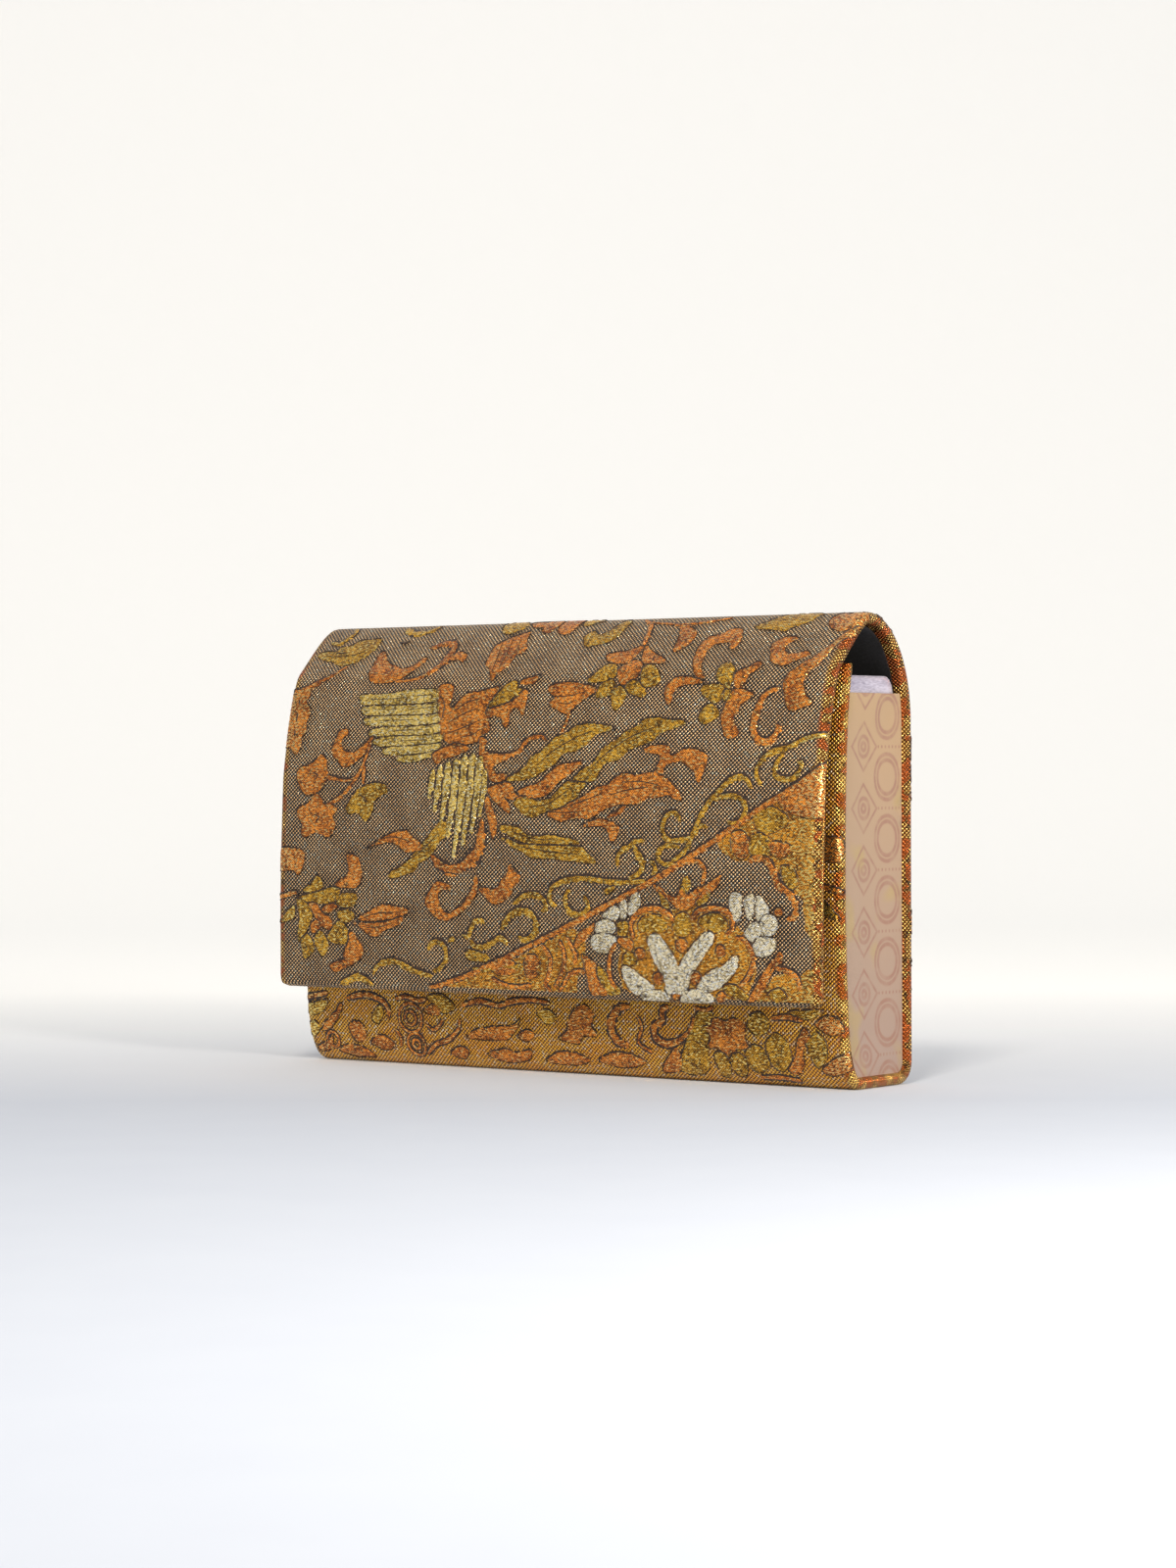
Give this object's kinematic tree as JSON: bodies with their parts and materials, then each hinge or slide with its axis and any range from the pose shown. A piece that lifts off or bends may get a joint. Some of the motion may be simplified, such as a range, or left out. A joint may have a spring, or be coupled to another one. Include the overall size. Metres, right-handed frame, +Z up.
{
  "type": "clutch bag",
  "caption": "Stiff brocade clutch bag with a long front flap, a soft arched top fold, recessed side gussets, a suede lining and a magnetic snap.",
  "frame": {"origin": "on the floor under the middle of the closed bag's bounding box", "axes": "+X along the bag's length, to its own right as seen from the front; -Y out of the flap's front; +Z up"},
  "size_m": [0.223, 0.0544, 0.15],
  "materials": {
    "flap_brocade": "brown-gold brocade with woven phoenix and scrolls",
    "body_brocade": "ochre-gold brocade",
    "gusset_cloth": "matte beige cloth with rose figures",
    "suede_lining": "matte black suede",
    "satin_lining": "lavender-grey satin",
    "card_board": "raw grey card",
    "felt": "soft felt",
    "snap_brass": "polished",
    "washer_steel": "brushed",
    "magnet": "dark ferrite"
  },
  "bodies": {
    "body": {"brocade_cover": "body_brocade", "front_board": "card_board", "base_board": "card_board", "back_board": "card_board", "body_lining": "suede_lining", "left_gusset": "gusset_cloth", "right_gusset": "gusset_cloth", "left_gusset_satin": "satin_lining", "right_gusset_satin": "satin_lining", "slip_pocket": "suede_lining", "socket_case": "snap_brass", "socket_magnet": "magnet", "socket_washer": "washer_steel"},
    "flap": {"flap_brocade": "flap_brocade", "arch_felt": "felt", "flap_board": "card_board", "flap_lining": "suede_lining", "stud_plate": "snap_brass", "stud_washer": "washer_steel"}
  },
  "joints": [
    {"name": "flap_hinge", "type": "hinge", "parent": "body", "child": "flap", "pos_m": [0, 0.02611, 0.126], "axis": [-1, 0, 0], "range_deg": [0, 175]}
  ]
}
